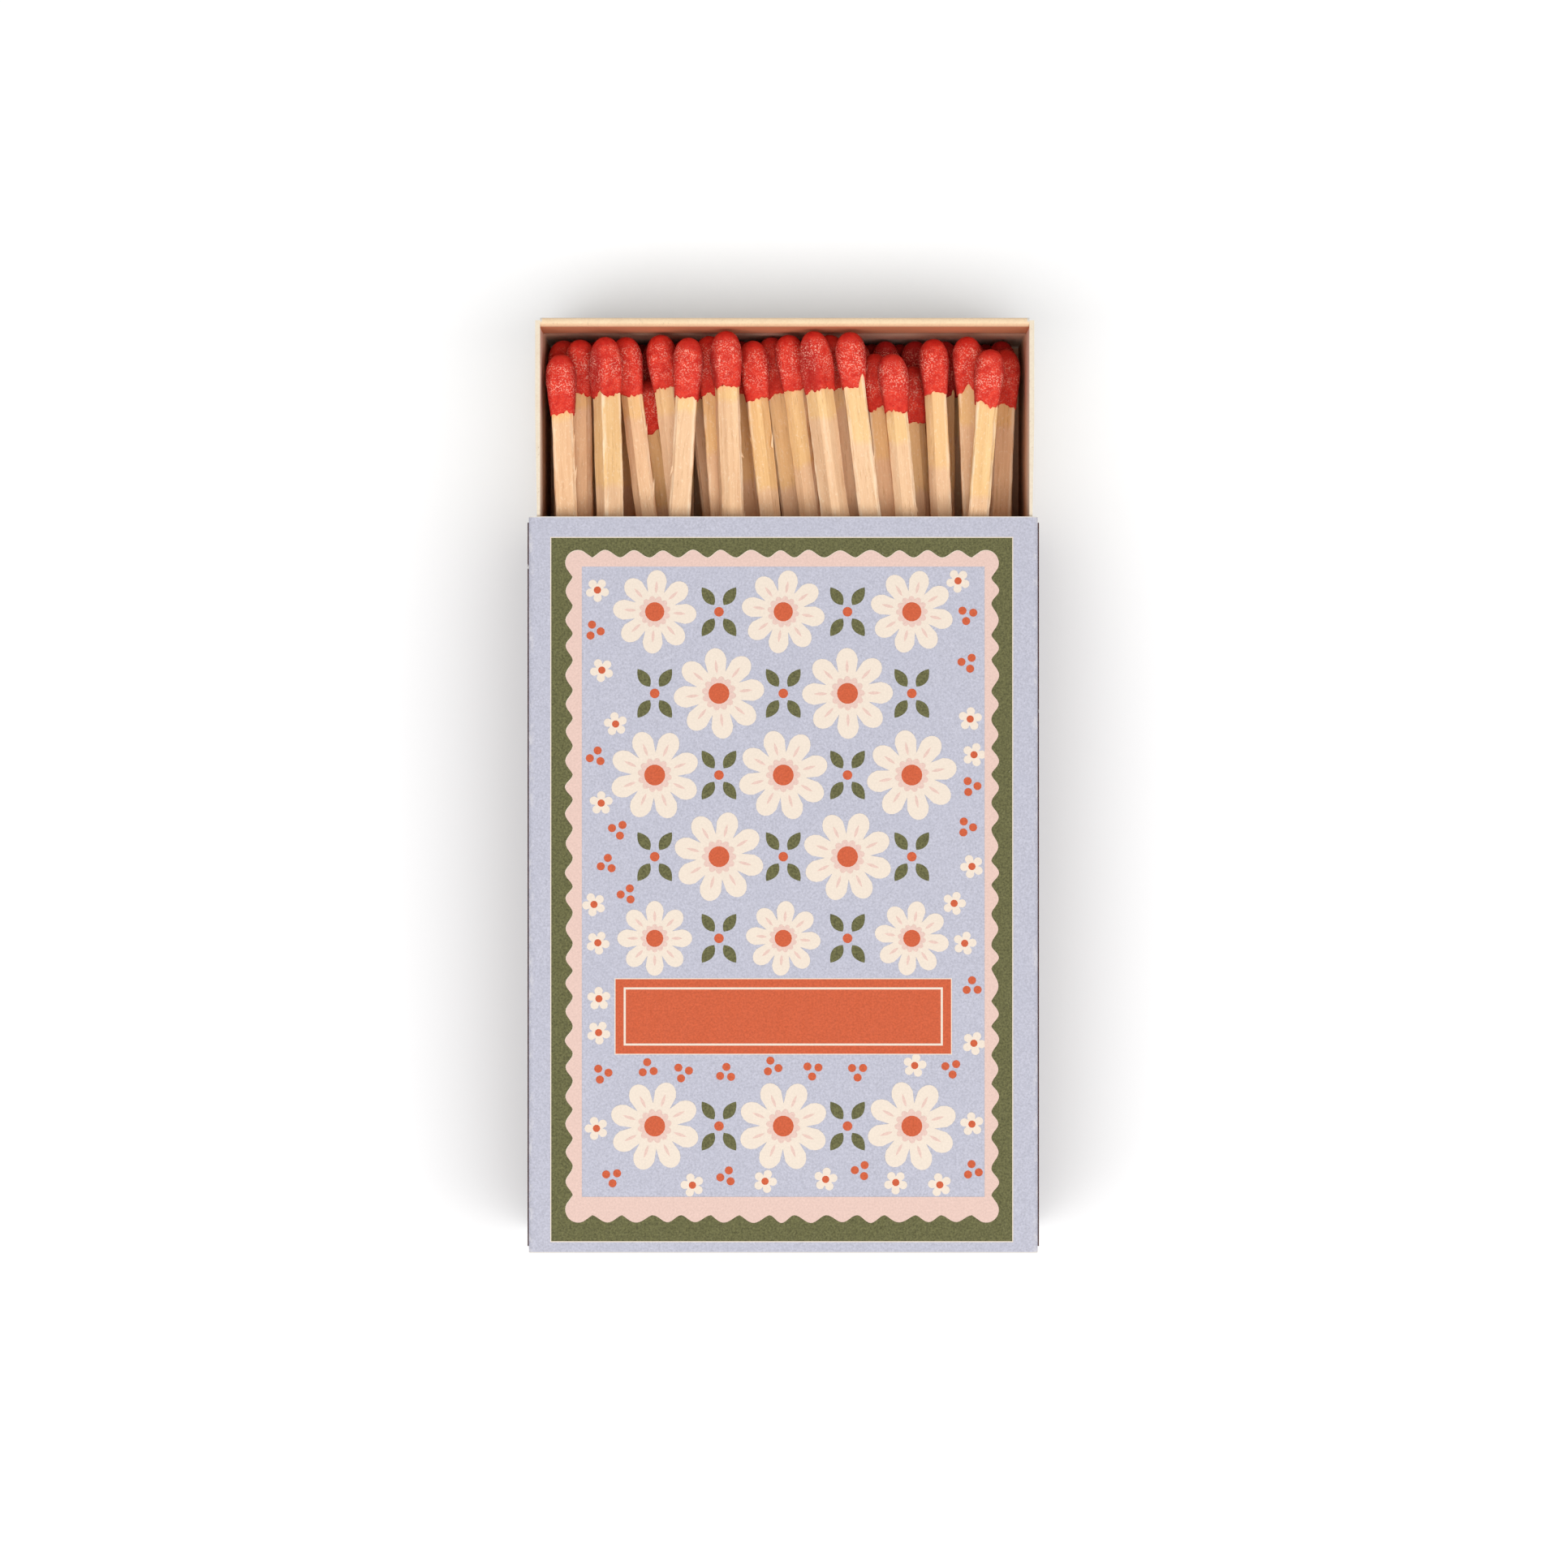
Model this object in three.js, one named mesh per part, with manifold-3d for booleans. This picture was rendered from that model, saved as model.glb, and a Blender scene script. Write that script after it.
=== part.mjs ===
// A matchbox of long wooden matches: a printed card sleeve, open at both ends, with a striker on each
// long side, and a folded card tray full of matches that slides in it. Millimetres.
// X runs across the box, +Y is the way the tray is pulled out, +Z is up.
// The origin is the middle of the sleeve's underside.
import * as THREE from "three";
import { mergeVertices } from "three/addons/utils/BufferGeometryUtils.js";
import Module from "manifold-3d";

const wasm = await Module();
wasm.setup();

// Matches
const matchLength = 88.5;
const stickWidth = 3;
const stickChamfer = 0.35;
const stickGap = 0.15;
const headDiameter = 4.2;
const headLength = 8;
const headFacets = 10;
// Bedded layers: whole rows under the loose matches, with heads pressed against each other
const bedCount = 16;
const bedPitchRatio = 0.95;
const bedHeadRatio = 0.985;
const bedFacets = 8;
const nestRatio = 0.9;
const headGap = 0.05;
// Room round the matches in the tray
const sideRoom = 1.86;
const frontRoom = 0.3;
const backRoom = 1.76;
const topRoom = 0.2;
const floorRoom = 0.05;
// Card
const card = 0.4;
const slideClearance = 0.3;
const creaseRadius = 0.7;
const rimRadius = 0.6;
const tabWidth = 14;
const tabGlue = 0.02;
const flapLift = 0.3;
const lapShare = 0.7;
const trayPull = 26.8;
// Strikers
const strikerThickness = 0.25;
const strikerInset = 0.7;
const strikerMargin = 1.8;
// Print on the sleeve's face
const inkThickness = 0.05;
const sideMargin = 3.2;
const endMargin = 2.2;
const oliveWidth = 1.9;
const pinkWidth = 3.2;
const scallopPitch = 3.8;
const scallopDepth = 1;
const scallopPoints = 4;
const bandHeight = 10;
const bandShare = 0.87;
const bandPlace = 0.29;
const flowerFill = 0.7;
const flowerPetals = 8;

const woodColor = 0xd9b382;
const headColor = 0xc63a2e;
const cardColor = 0xe2c9a4;
const sleeveColor = 0xcacad7;
const strikerColor = 0x55302f;
const oliveColor = 0x71704e;
const pinkColor = 0xf3d2c5;
const creamColor = 0xf8ead9;
const redColor = 0xd4573a;

// Each match by hand: its layer above the beds, where its head and its tail lie across the tray (in
// head pitches and in stick pitches from the middle), how far its tip stands back from the foremost
// (in head lengths), how much its tail is raised (in stick pitches), and its roll about its own axis.
const looseMatches = [
  [0, -7.62, -9.3, 0.05, 0, 0],
  [0, -6.32, -6.87, 0.1, 0, 0],
  [0, -4.74, -2.47, 0.72, 0, 0],
  [0, -3.13, -0.8, 0.1, 0, 0],
  [0, -1.8, 0.65, 0.1, 0, 0],
  [0, -0.53, 2.95, 0, 0, 0],
  [0, 0.88, 4.35, 0.1, 0, 0],
  [0, 2.38, 5.95, 0.1, 0, 0],
  [0, 4.31, 7.45, 0.49, 0, 0],
  [0, 7.6, 8.6, 0.2, 0, 0],
  [1, -6.97, -8.65, 0.09, 0, 0],
  [1, -5.46, -3.5, 0.05, 0, 0],
  [1, -4.28, -2.3, 0.01, 0, 0],
  [1, -2.61, -1.2, 0.03, 0, 0],
  [1, -1.15, 1.62, 0.11, 0, 0],
  [1, 0.11, 3.55, 0.01, 0, 0],
  [1, 1.48, 5.3, 0.01, 0, 0],
  [1, 3.01, 6.7, 0.33, 0, 0],
  [1, 5.04, 7.8, 0.08, 0, 0],
  [1, 6.19, 8.95, 0.04, 0, 0],
  [2, -7.6, -8.5, 0.39, 0, 0],
  [2, -6.09, -6.95, 0.1, 0.16, 33],
  [2, -3.21, -5.7, 0.11, 0, 0],
  [2, -2.03, -1.5, 0, 0.1, 14],
  [2, 0.93, 4.8, 0, 0.16, 45],
  [2, 2.13, 6.1, 0.02, 0, 0],
  [2, 3.61, 7.15, 0.38, 0, 0],
  [2, 6.97, 6.75, 0.31, 1.5, 0],
];

const stickPitch = stickWidth + stickGap;
const headPitch = headDiameter * bedPitchRatio;
const bedHeadDiameter = headDiameter * bedHeadRatio;
const headRise = Math.max(headDiameter * nestRatio, stickPitch);
const fullRise = Math.max(headDiameter + headGap, stickPitch);
const furthestBack = Math.max(...looseMatches.map((m) => m[3])) * headLength;
const widestTail = Math.max(...looseMatches.map((m) => Math.abs(m[2]))) * stickPitch;

// Heights of the match axes above the tray's floor, at the heads and at the tails
const bedHeights = [0, 1, 2].map((i) => ({
  head: floorRoom + headDiameter / 2 + i * headRise,
  tail: floorRoom + stickWidth / 2 + i * stickPitch,
}));
const looseHeights = [0, 1, 2].map((i) => ({
  head: bedHeights[2].head + fullRise + i * headRise,
  tail: bedHeights[2].tail + (i + 1) * stickPitch,
}));
const headsTop = looseHeights[2].head + headDiameter / 2;
const tailsTop = Math.max(
  ...looseMatches.map((m) => looseHeights[m[0]].tail + m[4] * stickPitch + stickWidth / Math.SQRT2),
);

// Tray, from its load
const trayInnerWidth = Math.max(bedCount * headPitch, 2 * widestTail + stickPitch) + sideRoom;
const trayInnerLength = matchLength + frontRoom + furthestBack + backRoom;
const trayInnerDepth = Math.max(headsTop, tailsTop) + topRoom;
const trayWidth = trayInnerWidth + 2 * card;
const trayLength = trayInnerLength + 4 * rimRadius;
const trayHeight = trayInnerDepth + card;

// Sleeve, from the tray that runs in it. Its glued lap stands inside the left panel.
const sleeveInnerWidth = trayWidth + 2 * slideClearance + card;
const sleeveInnerHeight = trayHeight + 2 * slideClearance;
const sleeveWidth = sleeveInnerWidth + 2 * card;
const sleeveHeight = sleeveInnerHeight + 2 * card;
const sleeveLength = trayLength;
const trayOffset = card / 2;
const trayBase = card + slideClearance;

function solid(geometry) {
  const bare = new THREE.BufferGeometry();
  bare.setAttribute("position", (geometry.index ? geometry.toNonIndexed() : geometry).getAttribute("position"));
  const merged = mergeVertices(bare, 1e-5);
  return new wasm.Manifold(
    new wasm.Mesh({
      numProp: 3,
      vertProperties: merged.attributes.position.array,
      triVerts: new Uint32Array(merged.index.array),
    }),
  );
}

function geometryOf(body) {
  const mesh = body.getMesh();
  const geometry = new THREE.BufferGeometry();
  geometry.setAttribute("position", new THREE.BufferAttribute(new Float32Array(mesh.vertProperties), 3));
  geometry.setIndex(new THREE.BufferAttribute(new Uint32Array(mesh.triVerts), 1));
  const faceted = geometry.toNonIndexed();
  faceted.computeVertexNormals();
  return faceted;
}

function named(name, geometry, color, roughness) {
  const material = new THREE.MeshStandardMaterial({ color, roughness, metalness: 0, flatShading: true });
  const mesh = new THREE.Mesh(geometry, material);
  mesh.name = name;
  return mesh;
}

// A shape drawn in X and Z, run along Y and centred on it.
function alongY(shape, length) {
  const geometry = new THREE.ExtrudeGeometry(shape, { depth: length, bevelEnabled: false, curveSegments: 4 });
  geometry.rotateX(Math.PI / 2);
  geometry.translate(0, length / 2, 0);
  return geometry;
}

// A shape drawn in Y and Z, run along X and centred on it.
function alongX(shape, length) {
  const geometry = new THREE.ExtrudeGeometry(shape, { depth: length, bevelEnabled: false, curveSegments: 6 });
  geometry.applyMatrix4(
    new THREE.Matrix4().makeBasis(
      new THREE.Vector3(0, 1, 0),
      new THREE.Vector3(0, 0, 1),
      new THREE.Vector3(1, 0, 0),
    ),
  );
  geometry.translate(-length / 2, 0, 0);
  return geometry;
}

function box(width, length, height, x, y, z) {
  const geometry = new THREE.BoxGeometry(width, length, height);
  geometry.translate(x, y, z);
  return geometry;
}

// Sleeve: one card, creased at four edges.
function sleeveGeometry() {
  const halfWidth = sleeveWidth / 2;
  const outer = new THREE.Shape();
  outer.moveTo(-halfWidth + creaseRadius, 0);
  outer.lineTo(halfWidth - creaseRadius, 0);
  outer.absarc(halfWidth - creaseRadius, creaseRadius, creaseRadius, -Math.PI / 2, 0, false);
  outer.lineTo(halfWidth, sleeveHeight - creaseRadius);
  outer.absarc(halfWidth - creaseRadius, sleeveHeight - creaseRadius, creaseRadius, 0, Math.PI / 2, false);
  outer.lineTo(-halfWidth + creaseRadius, sleeveHeight);
  outer.absarc(-halfWidth + creaseRadius, sleeveHeight - creaseRadius, creaseRadius, Math.PI / 2, Math.PI, false);
  outer.lineTo(-halfWidth, creaseRadius);
  outer.absarc(-halfWidth + creaseRadius, creaseRadius, creaseRadius, Math.PI, Math.PI * 1.5, false);
  const left = -halfWidth + card;
  const right = halfWidth - card;
  const top = sleeveHeight - card;
  const lapFoot = top - lapShare * sleeveInnerHeight;
  const hole = new THREE.Path();
  hole.moveTo(left, card);
  hole.lineTo(left, lapFoot);
  hole.lineTo(left + card, lapFoot);
  hole.lineTo(left + card, top);
  hole.lineTo(right, top);
  hole.lineTo(right, card);
  hole.lineTo(left, card);
  outer.holes.push(hole);
  return alongY(outer, sleeveLength);
}

// Tray end: the panel rises outside the corner tabs, rolls over them and hangs down inside.
function trayEndSection() {
  const outside = trayLength / 2;
  const middle = outside - rimRadius;
  const rollHeight = trayHeight - rimRadius;
  const inner = rimRadius - card;
  const section = new THREE.Shape();
  section.moveTo(outside - card - 1, 0);
  section.lineTo(outside, 0);
  section.lineTo(outside, rollHeight);
  section.absarc(middle, rollHeight, rimRadius, 0, Math.PI, false);
  section.lineTo(middle - rimRadius, card + flapLift);
  section.lineTo(middle - inner, card + flapLift);
  section.lineTo(middle - inner, rollHeight);
  section.absarc(middle, rollHeight, inner, Math.PI, 0, true);
  section.lineTo(outside - card, card);
  section.lineTo(outside - card - 1, card);
  section.lineTo(outside - card - 1, 0);
  return section;
}

// Tray: one card, with floor, long walls, corner tabs and rolled end walls.
function trayGeometry() {
  const halfWidth = trayWidth / 2;
  const fold = card;
  const section = new THREE.Shape();
  section.moveTo(-halfWidth + fold, 0);
  section.lineTo(halfWidth - fold, 0);
  section.absarc(halfWidth - fold, fold, fold, -Math.PI / 2, 0, false);
  section.lineTo(halfWidth, trayHeight);
  section.lineTo(halfWidth - card, trayHeight);
  section.lineTo(halfWidth - card, card);
  section.lineTo(-halfWidth + card, card);
  section.lineTo(-halfWidth + card, trayHeight);
  section.lineTo(-halfWidth, trayHeight);
  section.lineTo(-halfWidth, fold);
  section.absarc(-halfWidth + fold, fold, fold, Math.PI, Math.PI * 1.5, false);
  let body = solid(alongY(section, trayLength - 2 * card));
  const frontEnd = alongX(trayEndSection(), trayInnerWidth + tabGlue);
  const tailEnd = frontEnd.clone();
  tailEnd.rotateZ(Math.PI);
  body = body.add(solid(frontEnd)).add(solid(tailEnd));
  const tabHeight = trayHeight - rimRadius - card;
  const slot = 2 * rimRadius - 2 * card;
  const tabX = halfWidth - tabWidth / 2;
  const tabY = trayLength / 2 - rimRadius;
  for (const side of [-1, 1]) {
    for (const end of [-1, 1]) {
      const tab = box(tabWidth, slot + 2 * tabGlue, tabHeight, side * tabX, end * tabY, card + tabHeight / 2);
      body = body.add(solid(tab));
    }
  }
  return geometryOf(body);
}

// Radius and place down a head, as shares of its full radius and its length, tail first
const headProfile = [
  [0, 1],
  [0.72, 1],
  [0.9, 0.9],
  [0.97, 0.65],
  [1, 0.4],
  [0.93, 0.22],
  [0.7, 0.08],
  [0.36, 0.015],
  [0, 0],
];
const bedHeadProfile = [
  [0, 1],
  [0.86, 0.96],
  [1, 0.4],
  [0.7, 0.08],
  [0, 0],
];

// Match, tip at the origin and stick along -Y.
function matchSolid(diameter, profile, facets) {
  const radius = diameter / 2;
  const half = stickWidth / 2;
  const flat = half - stickChamfer;
  const section = new THREE.Shape();
  section.moveTo(-flat, -half);
  section.lineTo(flat, -half);
  section.lineTo(half, -flat);
  section.lineTo(half, flat);
  section.lineTo(flat, half);
  section.lineTo(-flat, half);
  section.lineTo(-half, flat);
  section.lineTo(-half, -flat);
  const stickStart = headLength * 0.4;
  const stick = alongY(section, matchLength - stickStart);
  stick.translate(0, -stickStart - (matchLength - stickStart) / 2, 0);
  const points = profile.map(([r, y]) => new THREE.Vector2(r * radius, -y * headLength));
  const head = new THREE.LatheGeometry(points, facets);
  return solid(stick).add(solid(head));
}

function paintedMatch(body) {
  const geometry = geometryOf(body);
  const position = geometry.getAttribute("position");
  const colors = new Float32Array(position.count * 3);
  const wood = new THREE.Color(woodColor);
  const red = new THREE.Color(headColor);
  for (let i = 0; i < position.count; i += 3) {
    const middle = (position.getY(i) + position.getY(i + 1) + position.getY(i + 2)) / 3;
    const color = middle > -headLength ? red : wood;
    for (let k = 0; k < 3; k += 1) {
      color.toArray(colors, (i + k) * 3);
    }
  }
  geometry.setAttribute("color", new THREE.BufferAttribute(colors, 3));
  return geometry;
}

// Lays a match from its tip towards its tail point.
function layMatch(object, tipX, tipY, tipZ, tailX, tailZ, roll) {
  const across = tailX - tipX;
  const down = tailZ - tipZ;
  const along = Math.sqrt(matchLength ** 2 - across ** 2 - down ** 2);
  const direction = new THREE.Vector3(across, -along, down).normalize();
  object.quaternion.setFromUnitVectors(new THREE.Vector3(0, -1, 0), direction);
  object.rotateY(THREE.MathUtils.degToRad(roll));
  object.position.set(tipX, tipY, tipZ);
}

function bedGeometry(level, count, tipY) {
  const heights = bedHeights[level];
  const match = geometryOf(matchSolid(bedHeadDiameter, bedHeadProfile, bedFacets));
  let row = null;
  for (let i = 0; i < count; i += 1) {
    const x = (i - (count - 1) / 2) * headPitch;
    const place = new THREE.Object3D();
    layMatch(place, x, tipY, heights.head, x, heights.tail, 0);
    place.updateMatrix();
    const laid = solid(match.clone().applyMatrix4(place.matrix));
    row = row ? row.add(laid) : laid;
  }
  return geometryOf(row);
}

function rectangle(path, halfWidth, halfLength) {
  path.moveTo(-halfWidth, -halfLength);
  path.lineTo(halfWidth, -halfLength);
  path.lineTo(halfWidth, halfLength);
  path.lineTo(-halfWidth, halfLength);
  path.lineTo(-halfWidth, -halfLength);
  return path;
}

// Rectangle whose edge is a run of round lobes.
function scalloped(halfWidth, halfLength) {
  const corners = [
    new THREE.Vector2(-halfWidth, -halfLength),
    new THREE.Vector2(halfWidth, -halfLength),
    new THREE.Vector2(halfWidth, halfLength),
    new THREE.Vector2(-halfWidth, halfLength),
  ];
  const points = [];
  corners.forEach((from, side) => {
    const to = corners[(side + 1) % corners.length];
    const length = from.distanceTo(to);
    const lobes = Math.max(2, Math.round(length / scallopPitch));
    const out = new THREE.Vector2(to.y - from.y, from.x - to.x).divideScalar(length);
    for (let i = 0; i < lobes * scallopPoints; i += 1) {
      const share = i / (lobes * scallopPoints);
      const bulge = Math.abs(Math.sin(Math.PI * (i / scallopPoints))) ** 0.7 * scallopDepth;
      points.push(from.clone().lerp(to, share).addScaledVector(out, bulge));
    }
  });
  return new THREE.Shape(points);
}

function ink(shape, level) {
  const geometry = new THREE.ExtrudeGeometry(shape, { depth: inkThickness, bevelEnabled: false, curveSegments: 4 });
  geometry.translate(0, 0, sleeveHeight + level * inkThickness);
  return geometry;
}

function flowerShape(x, y, radius, turn) {
  const points = [];
  const steps = flowerPetals * 4;
  for (let i = 0; i < steps; i += 1) {
    const angle = (i / steps) * Math.PI * 2;
    const petal = Math.abs(Math.cos((angle * flowerPetals) / 2)) ** 0.6;
    const reach = radius * (0.5 + 0.5 * petal);
    points.push(new THREE.Vector2(x + reach * Math.cos(angle + turn), y + reach * Math.sin(angle + turn)));
  }
  return new THREE.Shape(points);
}

const matchbox = new THREE.Group();

// Sleeve and what is fixed to it
matchbox.add(named("sleeve", sleeveGeometry(), sleeveColor, 0.75));
const strikerLength = sleeveLength - 2 * strikerInset;
const strikerHeight = sleeveHeight - 2 * strikerMargin;
for (const [name, side] of [
  ["striker_left", -1],
  ["striker_right", 1],
]) {
  const x = side * (sleeveWidth / 2 + strikerThickness / 2);
  matchbox.add(
    named(name, box(strikerThickness, strikerLength, strikerHeight, x, 0, sleeveHeight / 2), strikerColor, 0.95),
  );
}

// Print: an olive frame, a pink scalloped border on it, a bare red band and a pattern of flowers
const oliveHalfWidth = sleeveWidth / 2 - sideMargin;
const oliveHalfLength = sleeveLength / 2 - endMargin;
const pinkHalfWidth = oliveHalfWidth - oliveWidth - scallopDepth / 2;
const pinkHalfLength = oliveHalfLength - oliveWidth - scallopDepth / 2;
const panelHalfWidth = pinkHalfWidth - pinkWidth + scallopDepth / 2;
const panelHalfLength = pinkHalfLength - pinkWidth + scallopDepth / 2;
const olive = rectangle(new THREE.Shape(), oliveHalfWidth, oliveHalfLength);
olive.holes.push(rectangle(new THREE.Path(), panelHalfWidth, panelHalfLength));
matchbox.add(named("print_olive_frame", ink(olive, 0), oliveColor, 0.7));
const pink = scalloped(pinkHalfWidth, pinkHalfLength);
pink.holes.push(rectangle(new THREE.Path(), panelHalfWidth, panelHalfLength));
matchbox.add(named("print_pink_border", ink(pink, 1), pinkColor, 0.7));
const bandY = -panelHalfLength + 2 * panelHalfLength * bandPlace;
const bandWidth = 2 * panelHalfWidth * bandShare;
const band = box(bandWidth, bandHeight, inkThickness, 0, bandY, sleeveHeight + inkThickness / 2);
matchbox.add(named("print_red_band", band, redColor, 0.7));

// Flowers stand in rows of three and two by turns above the band, and in one row of three below it.
const upperFoot = bandY + bandHeight / 2;
const upperRow = (panelHalfLength - upperFoot) / 5;
const lowerRow = bandY - bandHeight / 2 + panelHalfLength;
const column = (2 * panelHalfWidth) / 3;
const flowerRadius = (Math.min(upperRow, lowerRow, column) * flowerFill) / 2;
const flowerPlaces = [];
for (let row = 0; row < 5; row += 1) {
  const across = row % 2 ? 2 : 3;
  for (let i = 0; i < across; i += 1) {
    flowerPlaces.push([(i - (across - 1) / 2) * column, upperFoot + (row + 0.5) * upperRow]);
  }
}
for (let i = 0; i < 3; i += 1) {
  flowerPlaces.push([(i - 1) * column, -panelHalfLength + lowerRow / 2]);
}
flowerPlaces.forEach(([x, y], i) => {
  const name = "print_flower_" + String(i + 1).padStart(2, "0");
  matchbox.add(named(name, ink(flowerShape(x, y, flowerRadius, i * 0.7), 0), creamColor, 0.7));
});

// Tray and its matches, in the tray's own group: its middle, on its underside
const trayGroup = new THREE.Group();
trayGroup.position.set(trayOffset, trayPull, trayBase);
trayGroup.add(named("tray", trayGeometry(), cardColor, 0.85));
const load = new THREE.Group();
load.position.z = card;
trayGroup.add(load);
const foremostTip = trayInnerLength / 2 - frontRoom;
for (let level = 0; level < bedHeights.length; level += 1) {
  const count = bedCount - (level % 2);
  const bed = bedGeometry(level, count, foremostTip);
  load.add(named("match_bed_" + (level + 1), bed, woodColor, 0.8));
}
const matchGeometry = paintedMatch(matchSolid(headDiameter, headProfile, headFacets));
looseMatches.forEach(([layer, headX, tailX, back, lift, roll], i) => {
  const mesh = named("match_" + String(i + 1).padStart(2, "0"), matchGeometry, 0xffffff, 0.8);
  mesh.material.vertexColors = true;
  const heights = looseHeights[layer];
  const setBack = back * headLength;
  const drop = ((heights.head - heights.tail) * setBack) / matchLength;
  layMatch(
    mesh,
    headX * headPitch,
    foremostTip - setBack,
    heights.head - drop,
    tailX * stickPitch,
    heights.tail - drop + lift * stickPitch,
    roll,
  );
  load.add(mesh);
});
matchbox.add(trayGroup);

export default matchbox;
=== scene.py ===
import math
import random

import bmesh
import bpy
from mathutils import Matrix, Vector, noise


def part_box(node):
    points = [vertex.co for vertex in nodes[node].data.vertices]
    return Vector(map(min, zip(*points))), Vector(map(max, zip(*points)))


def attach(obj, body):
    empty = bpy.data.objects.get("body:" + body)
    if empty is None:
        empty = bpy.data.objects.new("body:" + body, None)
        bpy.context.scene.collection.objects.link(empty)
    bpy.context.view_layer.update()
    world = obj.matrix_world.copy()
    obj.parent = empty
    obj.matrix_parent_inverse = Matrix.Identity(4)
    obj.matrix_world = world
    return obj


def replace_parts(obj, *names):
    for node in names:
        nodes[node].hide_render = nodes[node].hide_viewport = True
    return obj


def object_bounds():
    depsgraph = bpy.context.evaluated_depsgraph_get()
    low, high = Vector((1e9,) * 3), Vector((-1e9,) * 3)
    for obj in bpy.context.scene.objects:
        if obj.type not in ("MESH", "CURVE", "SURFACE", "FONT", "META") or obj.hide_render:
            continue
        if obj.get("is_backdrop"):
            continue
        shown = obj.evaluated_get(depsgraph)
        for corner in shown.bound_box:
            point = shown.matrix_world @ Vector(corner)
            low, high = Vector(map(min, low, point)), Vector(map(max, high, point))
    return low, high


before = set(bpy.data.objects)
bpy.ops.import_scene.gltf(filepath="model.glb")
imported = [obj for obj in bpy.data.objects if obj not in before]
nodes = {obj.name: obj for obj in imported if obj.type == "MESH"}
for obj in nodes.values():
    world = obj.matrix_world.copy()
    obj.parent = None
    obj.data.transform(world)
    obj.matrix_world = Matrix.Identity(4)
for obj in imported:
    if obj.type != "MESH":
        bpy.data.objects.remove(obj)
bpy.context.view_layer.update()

MM = 0.001
INK = 0.012 * MM  # Thickness of one film of ink


class Graph:
    """A material's node tree, with every length in millimetres in the object's own space."""

    def __init__(self, name):
        self.material = bpy.data.materials.new(name)
        self.material.use_nodes = True
        self.tree = self.material.node_tree
        self.tree.nodes.clear()
        self.out = self.tree.nodes.new("ShaderNodeOutputMaterial")
        self.shader = self.tree.nodes.new("ShaderNodeBsdfPrincipled")
        self.tree.links.new(self.shader.outputs[0], self.out.inputs[0])
        coords = self.tree.nodes.new("ShaderNodeTexCoord")
        scale = self.tree.nodes.new("ShaderNodeVectorMath")
        scale.operation = "SCALE"
        scale.inputs["Scale"].default_value = 1.0 / MM
        self.tree.links.new(coords.outputs["Object"], scale.inputs[0])
        self.mm = scale.outputs[0]

    def put(self, value, socket):
        """Sets a socket to a number, a vector or a color, or links an output to it."""
        if isinstance(value, (int, float)):
            socket.default_value = value
        elif isinstance(value, tuple):
            is_color = len(value) == 3 and socket.type == "RGBA"
            socket.default_value = (*value, 1.0) if is_color else value
        else:
            self.tree.links.new(value, socket)

    def noise(self, scale, detail=2.0, rough=0.5, stretch=None, offset=None, distortion=0.0):
        n = self.tree.nodes.new("ShaderNodeTexNoise")
        n.inputs["Scale"].default_value = scale
        n.inputs["Detail"].default_value = detail
        n.inputs["Roughness"].default_value = rough
        n.inputs["Distortion"].default_value = distortion
        vector = self.mm
        if stretch is not None:
            m = self.tree.nodes.new("ShaderNodeVectorMath")
            m.operation = "MULTIPLY"
            m.inputs[1].default_value = stretch
            self.tree.links.new(vector, m.inputs[0])
            vector = m.outputs[0]
        if offset is not None:
            a = self.tree.nodes.new("ShaderNodeVectorMath")
            a.operation = "ADD"
            self.tree.links.new(vector, a.inputs[0])
            self.tree.links.new(offset, a.inputs[1])
            vector = a.outputs[0]
        self.tree.links.new(vector, n.inputs["Vector"])
        return n.outputs["Fac"]

    def axis(self, name):
        s = self.tree.nodes.new("ShaderNodeSeparateXYZ")
        self.tree.links.new(self.mm, s.inputs[0])
        return s.outputs[name]

    def math(self, operation, a, b=0.0):
        m = self.tree.nodes.new("ShaderNodeMath")
        m.operation = operation
        self.put(a, m.inputs[0])
        self.put(b, m.inputs[1])
        return m.outputs[0]

    def times(self, *factors):
        product = factors[0]
        for factor in factors[1:]:
            product = self.math("MULTIPLY", product, factor)
        return product

    def span(self, value, low, high, to_low=0.0, to_high=1.0):
        m = self.tree.nodes.new("ShaderNodeMapRange")
        m.clamp = True
        self.put(value, m.inputs["Value"])
        self.put(low, m.inputs["From Min"])
        self.put(high, m.inputs["From Max"])
        self.put(to_low, m.inputs["To Min"])
        self.put(to_high, m.inputs["To Max"])
        return m.outputs["Result"]

    def mix(self, share, a, b):
        m = self.tree.nodes.new("ShaderNodeMix")
        m.data_type = "RGBA"
        # The node has sockets for every data type: 6, 7 and output 2 are those for color
        self.put(share, m.inputs[0])
        self.put(a, m.inputs[6])
        self.put(b, m.inputs[7])
        return m.outputs[2]

    def random(self, scale):
        """An offset of its own for each object, and the number from 0 to 1 that it comes from."""
        info = self.tree.nodes.new("ShaderNodeObjectInfo")
        v = self.tree.nodes.new("ShaderNodeCombineXYZ")
        r = self.math("MULTIPLY", info.outputs["Random"], scale)
        for socket in v.inputs:
            self.tree.links.new(r, socket)
        return v.outputs[0], info.outputs["Random"]

    def finish(self, color, roughness, height=None, strength=0.3, distance=0.05, specular=0.3):
        self.put(color, self.shader.inputs["Base Color"])
        self.put(roughness, self.shader.inputs["Roughness"])
        self.shader.inputs["Specular IOR Level"].default_value = specular
        if height is not None:
            b = self.tree.nodes.new("ShaderNodeBump")
            b.inputs["Strength"].default_value = strength
            b.inputs["Distance"].default_value = distance * MM
            self.tree.links.new(height, b.inputs["Height"])
            self.tree.links.new(b.outputs[0], self.shader.inputs["Normal"])
        return self.material


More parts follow.
